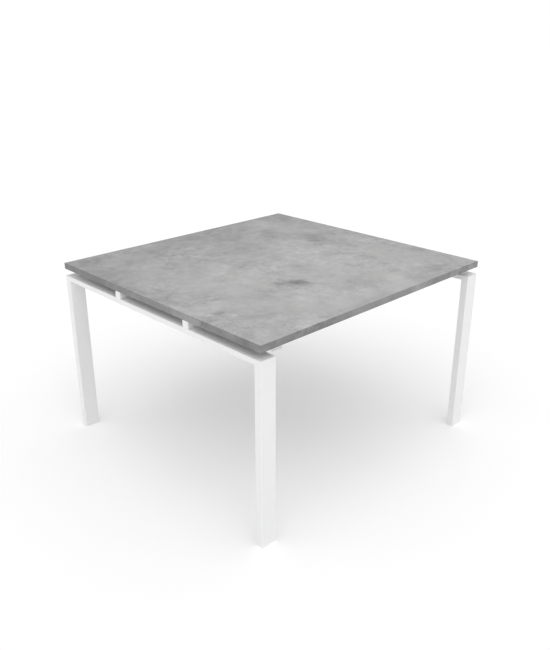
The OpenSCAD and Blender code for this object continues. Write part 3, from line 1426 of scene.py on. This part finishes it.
@dataclass
class FootPlug:
    """The plug in a leg's floor end: a flange on the floor, and a body in the leg with a boss for the nut.

    Attributes:
        tube: The form of the leg's tube.
        rim: Rounding round the flange's underside.
        wall: Thickness of the body's walls.
        boss_half: Half the boss's length.
        pad_gap: Clearance round the pad.
        pad_headroom: Clearance over the pad.
        stud_hole: Radius of the hole for the stud.
    """

    tube: SquareTube = field(default_factory=SquareTube)
    rim: float = 0.4 * MM
    wall: float = 2.0 * MM
    boss_half: float = 13.0 * MM
    pad_gap: float = 0.5 * MM
    pad_headroom: float = 0.3 * MM
    stud_hole: float = 4.3 * MM

    def model(self, corner: str) -> Piece:
        """Models the plug.

        Args:
            corner: The leg's name.

        Returns:
            The plug.
        """
        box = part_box(f"{corner}_plug")
        floor, top = box[0].z, box[1].z
        plug = add_block("plug_mould", *spanned(box, Z, floor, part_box(f"{corner}_leg")[0].z))
        self.tube.round_corners(plug, Z)
        bevel_edges(plug, self.rim, lambda a, b: both_at(Z, floor, a, b))
        pad = Upright.of(f"{corner}_pad")
        nut = Upright.of(f"{corner}_nut")
        combine(plug, self.model_body(corner, pad.axis.x), "UNION")
        pocket_top = pad.high + self.pad_headroom
        cut(plug, add_bar("pocket", pad.axis, floor - OVERLAP, pocket_top, pad.radius + self.pad_gap))
        cut(plug, add_bar("stud_hole", pad.axis, floor - OVERLAP, top + OVERLAP, self.stud_hole))
        cut(plug, add_bar("nut_room", pad.axis, nut.low, nut.high, nut.radius, **HEXAGON))
        soften(plug)
        return plug

    def model_body(self, corner: str, middle: float) -> Piece:
        """Models the part of the plug inside the leg, with a room on each side of the boss.

        Args:
            corner: The leg's name.
            middle: Place of the boss's middle along X.

        Returns:
            The body.
        """
        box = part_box(f"{corner}_plug")
        seam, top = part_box(f"{corner}_leg")[0].z, box[1].z
        inside = shrunk(box, Vector((self.tube.inset, self.tube.inset, 0.0)))
        body = add_block("body", *spanned(inside, Z, seam - OVERLAP, top))
        room = spanned(shrunk(inside, Vector((self.wall, self.wall, 0.0))), Z, seam, top + OVERLAP)
        for side, wall in ((Side.LEFT, room[0].x), (Side.RIGHT, room[1].x)):
            cut(body, add_block("room", *spanned(room, X, middle + side.sign * self.boss_half, wall)))
        return body


@dataclass
class FootStud:
    """The threaded stud, with a collar and a key socket at its foot.

    Attributes:
        radius: Outer radius of the thread.
        pitch: Pitch of the thread.
        depth: Depth of the thread.
        tooth: Outline of one tooth, as shares of the depth and of the pitch.
        steps: Number of steps round one turn.
        root_height: Height in the collar at which the thread starts.
        collar_height: Height of the collar.
        collar_edge: Rounding of its edges.
        key_width: Width of the socket across its flats.
        key_depth: Depth of the socket.
    """

    radius: float = 4.0 * MM
    pitch: float = 1.25 * MM
    depth: float = 0.65 * MM
    tooth: tuple[tuple[float, float], ...] = ((0.0, 0.0), (1.0, 0.40), (1.0, 0.52), (0.0, 0.92), (0.0, 1.0))
    steps: int = 32
    root_height: float = 1.0 * MM
    collar_height: float = 2.5 * MM
    collar_edge: float = 0.3 * MM
    key_width: float = 4.0 * MM
    key_depth: float = 5.0 * MM

    def model(self, corner: str) -> Piece:
        """Models the stud.

        Args:
            corner: The leg's name.

        Returns:
            The stud.
        """
        place = Upright.of(f"{corner}_stud")
        thread = self.model_thread(place.axis, place.low + self.root_height, place.high)
        collar_top = place.low + self.collar_height
        stud = add_bar("stud_mould", place.axis, place.low, collar_top, place.radius)
        bevel_edges(stud, self.collar_edge, lambda a, b: not along(Z, a, b))
        combine(stud, thread, "UNION")
        key_radius = self.key_width / math.sqrt(3.0)
        key_top = place.low + self.key_depth
        cut(stud, add_bar("key_socket", place.axis, place.low - OVERLAP, key_top, key_radius, **HEXAGON))
        soften(stud, angle_deg=25.0)
        return stud

    def model_thread(self, axis: Vector, low: float, high: float) -> Piece:
        """Models a threaded rod by winding one tooth's outline up the axis.

        Args:
            axis: A point on the axis.
            low: Height of the rod's lower end.
            high: Height of its upper end.

        Returns:
            The rod, closed at both ends.
        """
        lead_in = 1.4 * self.pitch
        spare_turns = 3
        turns = math.ceil((high - low) / self.pitch) + spare_turns
        deselect()
        bpy.ops.mesh.primitive_plane_add(size=1.0, location=(0.0, 0.0, 0.0))
        rod = name_piece("thread")
        with editing(rod, "VERT"):
            bpy.ops.mesh.select_all(action="SELECT")
            bpy.ops.mesh.merge(type="CENTER")
            bpy.ops.transform.translate(value=(self.radius - self.depth, 0.0, 0.0))
            for (out, up), (next_out, next_up) in zip(self.tooth, self.tooth[1:]):
                step = ((next_out - out) * self.depth, 0.0, (next_up - up) * self.pitch)
                bpy.ops.mesh.extrude_vertices_move(TRANSFORM_OT_translate={"value": step})
        apply_modifier(
            rod,
            "SCREW",
            axis="Z",
            angle=math.tau,
            screw_offset=self.pitch,
            iterations=turns,
            steps=self.steps,
            render_steps=self.steps,
            use_merge_vertices=True,
            merge_threshold=CLOSE,
        )
        self.close_ends(rod)
        pick_only(rod)
        bpy.ops.transform.translate(value=(axis.x, axis.y, low - lead_in))
        bpy.ops.object.transform_apply(location=True, rotation=True, scale=True)
        span = add_bar("span", axis, low, high, self.radius + 2 * OVERLAP)
        combine(rod, span, "INTERSECT")
        return rod

    def close_ends(self, rod: Piece) -> None:
        """Closes a wound rod's ends with fans of triangles and turns all faces outwards.

        Args:
            rod: The rod.
        """
        with editing(rod, "VERT") as mesh:
            bpy.ops.mesh.select_all(action="SELECT")
            bpy.ops.mesh.remove_doubles(threshold=CLOSE)
            bpy.ops.mesh.fill_holes(sides=0)
            bpy.ops.mesh.select_all(action="DESELECT")
            bpy.ops.mesh.select_mode(type="FACE")
            for face in mesh.faces:
                face.select_set(len(face.verts) > 4)
            bmesh.update_edit_mesh(rod.data)
            bpy.ops.mesh.poke()
            bpy.ops.mesh.select_all(action="SELECT")
            bpy.ops.mesh.normals_make_consistent(inside=False)


@dataclass
class FootPad:
    """The pad: a disc with rounded edges and grip notches, snapped over the stud's collar.

    Attributes:
        stud: The stud that it holds.
        sides: Number of sides of the disc.
        lower_edge: Rounding of the lower edge.
        lower_faces: Number of faces across it.
        upper_edge: Rounding of the upper edge.
        gap: Clearance round the stud, and over and under its collar.
        collar_room: Radius of the room for the collar.
        key_hole: Radius of the hole for the key.
        notches: Number of grip notches.
        notch_radius: Radius of a notch.
        notch_sides: Number of sides of a notch's full round.
        notch_outset: How far a notch's axis lies outside the rim.
        notch_height: Height of a notch's lower end over the underside.
    """

    stud: FootStud
    sides: int = 72
    lower_edge: float = 0.8 * MM
    lower_faces: int = 3
    upper_edge: float = 0.5 * MM
    gap: float = 0.05 * MM
    collar_room: float = 6.55 * MM
    key_hole: float = 2.61 * MM
    notches: int = 12
    notch_radius: float = 0.9 * MM
    notch_sides: int = 16
    notch_outset: float = 0.35 * MM
    notch_height: float = 2.0 * MM

    def model(self, corner: str) -> Piece:
        """Models the pad.

        Args:
            corner: The leg's name.

        Returns:
            The pad.
        """
        disc = Upright.of(f"{corner}_pad")
        collar = Upright.of(f"{corner}_stud")
        pad = add_bar("pad_mould", disc.axis, disc.low, disc.high, disc.radius, self.sides)
        bevel_edges(pad, self.lower_edge, lambda a, b: both_at(Z, disc.low, a, b), self.lower_faces)
        bevel_edges(pad, self.upper_edge, lambda a, b: both_at(Z, disc.high, a, b))
        collar_top = collar.low + self.stud.collar_height
        holes = (
            ("collar_room", collar.low - self.gap, collar_top + self.gap, self.collar_room),
            ("neck", collar.low, disc.high + OVERLAP, self.stud.radius + self.gap),
            ("key_hole", disc.low - OVERLAP, collar.low + OVERLAP, self.key_hole),
        )
        for name, low, high, radius in holes:
            cut(pad, add_bar(name, disc.axis, low, high, radius))
        for i in range(self.notches):
            angle = math.tau * i / self.notches
            outward = Vector((math.cos(angle), math.sin(angle), 0.0))
            spot = disc.axis + outward * (disc.radius + self.notch_outset)
            low, high = disc.low + self.notch_height, disc.high + OVERLAP
            cut(pad, add_bar("notch", spot, low, high, self.notch_radius, self.notch_sides))
        soften(pad)
        return pad


@dataclass
class LevellingFeet:
    """The feet that wind out of the four legs.

    Attributes:
        finishes: The table's finishes.
    """

    finishes: Finishes

    def build(self) -> None:
        """Models one foot and copies it to all legs."""
        first = CORNERS[0]
        stud = FootStud()
        moulds = (
            ("plug", FootPlug().model(first), Slot.WHITE_PLASTIC, "table"),
            ("pad", FootPad(stud).model(first), Slot.GREY_PLASTIC, "{corner}_foot_pad"),
            ("stud", stud.model(first), Slot.ZINC, "{corner}_foot_stud"),
        )
        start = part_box(f"{first}_plug")[0]
        for corner in CORNERS:
            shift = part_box(f"{corner}_plug")[0] - start
            for part, mould, slot, body in moulds:
                piece = copy_piece(mould, f"{corner}_{part}_detail", shift)
                self.finishes.place(piece, slot, body.format(corner=corner), f"{corner}_{part}")
            self.finishes.finish_node(f"{corner}_nut", Slot.ZINC)
        for _part, mould, _slot, _body in moulds:
            bpy.data.objects.remove(mould, do_unlink=True)


# Studio


def aim(name: str, data: bpy.types.Camera | bpy.types.Light, pitch_deg: float, yaw_deg: float) -> Piece:
    """Adds the camera or a lamp at the origin and points it.

    Args:
        name: Its name.
        data: Its data.
        pitch_deg: How far it points down.
        yaw_deg: Where it points, from +Y towards +X.

    Returns:
        The camera or lamp.
    """
    pointer = bpy.data.objects.new(name, data)
    bpy.context.scene.collection.objects.link(pointer)
    pointer.rotation_euler = (math.radians(90.0 - pitch_deg), 0.0, -math.radians(yaw_deg))
    return pointer


@dataclass(frozen=True)
class SunLamp:
    """A very soft lamp that lights the whole floor alike.

    Attributes:
        name: The lamp's name.
        azimuth_deg: Where it shines from, from +Y towards +X.
        elevation_deg: How high above the floor it stands.
        softness_deg: Its width in the sky.
        strength: Its strength.
    """

    name: str
    azimuth_deg: float
    elevation_deg: float
    softness_deg: float
    strength: float

    def build(self) -> None:
        """Adds the lamp."""
        data = bpy.data.lights.new(self.name, "SUN")
        data.energy = self.strength
        data.angle = math.radians(self.softness_deg)
        aim(self.name, data, self.elevation_deg, self.azimuth_deg - 180.0)
        log.info("lamp %s", self.name)


@dataclass
class Studio:
    """Floor, world, lamps and camera.

    Attributes:
        ambient: Strength of the world as a light.
        floor_shade: Shade of the floor as the object sees it.
        floor_lift: Light that the camera sees added to the floor, so that open floor is white.
        floor_half: Half the floor's width.
        view_depth: How far the camera sees.
        camera_place: The camera's place.
        camera_pitch_deg: How far the camera looks down.
        camera_yaw_deg: Where it looks, from +Y towards +X.
        focal_px: Its focal length in pixels of the picture.
        picture_px: Height of the picture, its longer side.
        sensor_mm: The camera's sensor, as long as that side.
        lamps: The lamps.
    """

    ambient: float = 0.44
    floor_shade: float = 0.85
    floor_lift: float = 0.172
    floor_half: float = 60.0
    view_depth: float = 200.0
    camera_place: tuple[float, float, float] = (-1.94587, -2.00757, 1.62094)
    camera_pitch_deg: float = 22.33
    camera_yaw_deg: float = 44.36
    focal_px: float = 717.06
    picture_px: float = 650.0
    sensor_mm: float = 36.0
    lamps: tuple[SunLamp, ...] = (
        SunLamp("overhead_near", 0.0, 90.0, 30.0, 0.27),
        SunLamp("overhead_wide", 0.0, 90.0, 90.0, 0.28),
        SunLamp("from_left", 270.0, 35.0, 80.0, 0.66),
        SunLamp("from_front", 180.0, 35.0, 80.0, 0.61),
        SunLamp("from_front_left", 225.0, 45.0, 60.0, 0.47),
        SunLamp("from_right", 90.0, 35.0, 80.0, 0.31),
    )

    def build_camera(self) -> None:
        """Adds the camera at the place it has in the reference view."""
        data = bpy.data.cameras.new("camera")
        data.sensor_width = self.sensor_mm
        data.lens = self.focal_px * self.sensor_mm / self.picture_px
        data.clip_end = self.view_depth
        camera = aim("camera", data, self.camera_pitch_deg, self.camera_yaw_deg)
        camera.location = self.camera_place
        bpy.context.scene.camera = camera

    def build(self) -> None:
        """Builds the floor, the world and the lamps."""
        self.build_floor()
        self.build_world()
        for lamp in self.lamps:
            lamp.build()
        bpy.context.scene.view_settings.view_transform = "Standard"

    def seen(self, sheet: NodeSheet) -> Socket:
        """Adds a mask of the rays that come from the camera or through gloss and glass.

        Args:
            sheet: The sheet of the floor or the world.

        Returns:
            The mask.
        """
        path = sheet.add("ShaderNodeLightPath").outputs
        mirrored = sheet.math("MAXIMUM", path["Is Glossy Ray"], path["Is Transmission Ray"])
        return sheet.math("MAXIMUM", path["Is Camera Ray"], mirrored)

    def build_floor(self) -> None:
        """Adds the plain pale floor, white where nothing shades it and clear from below."""
        deselect()
        bpy.ops.mesh.primitive_plane_add(size=2 * self.floor_half, location=(0.0, 0.0, 0.0))
        floor = name_piece("floor")
        material = bpy.data.materials.new("floor")
        sheet = NodeSheet(blank_tree(material))
        shade = self.floor_shade
        matt = sheet.add("ShaderNodeBsdfDiffuse", {"Color": (shade, shade, shade, 1.0)})
        lift = sheet.math("MULTIPLY", self.seen(sheet), self.floor_lift)
        glow = sheet.add("ShaderNodeEmission", {"Color": (*WHITE, 1.0), "Strength": lift})
        both = sheet.add("ShaderNodeAddShader", {0: matt.outputs[0], 1: glow.outputs[0]})
        clear = sheet.add("ShaderNodeBsdfTransparent")
        below = sheet.add("ShaderNodeNewGeometry").outputs["Backfacing"]
        mixed = sheet.add("ShaderNodeMixShader", {0: below, 1: both.outputs[0], 2: clear.outputs[0]})
        sheet.add("ShaderNodeOutputMaterial", {"Surface": mixed.outputs[0]})
        floor.data.materials.append(material)

    def build_world(self) -> None:
        """Makes a white surrounding that lights the table evenly."""
        world = bpy.data.worlds.new("studio")
        bpy.context.scene.world = world
        sheet = NodeSheet(blank_tree(world))
        strength = sheet.remap(self.seen(sheet), 0.0, 1.0, self.ambient, 1.0)
        sky = sheet.add("ShaderNodeBackground", {"Color": (*WHITE, 1.0), "Strength": strength})
        sheet.add("ShaderNodeOutputWorld", {"Surface": sky.outputs[0]})


def main() -> None:
    """Builds the camera, the finishes, every piece of the table and the studio."""
    logging.basicConfig(level=logging.INFO, format="%(name)s: %(message)s")
    studio = Studio()
    studio.build_camera()
    finishes = Finishes()
    finishes.build()
    Tabletop(finishes).build()
    for side in Side:
        Portal(finishes, side).build()
    for end in End:
        Rail(finishes, end).build()
    LevellingFeet(finishes).build()
    studio.build()


if __name__ == "__main__":
    main()
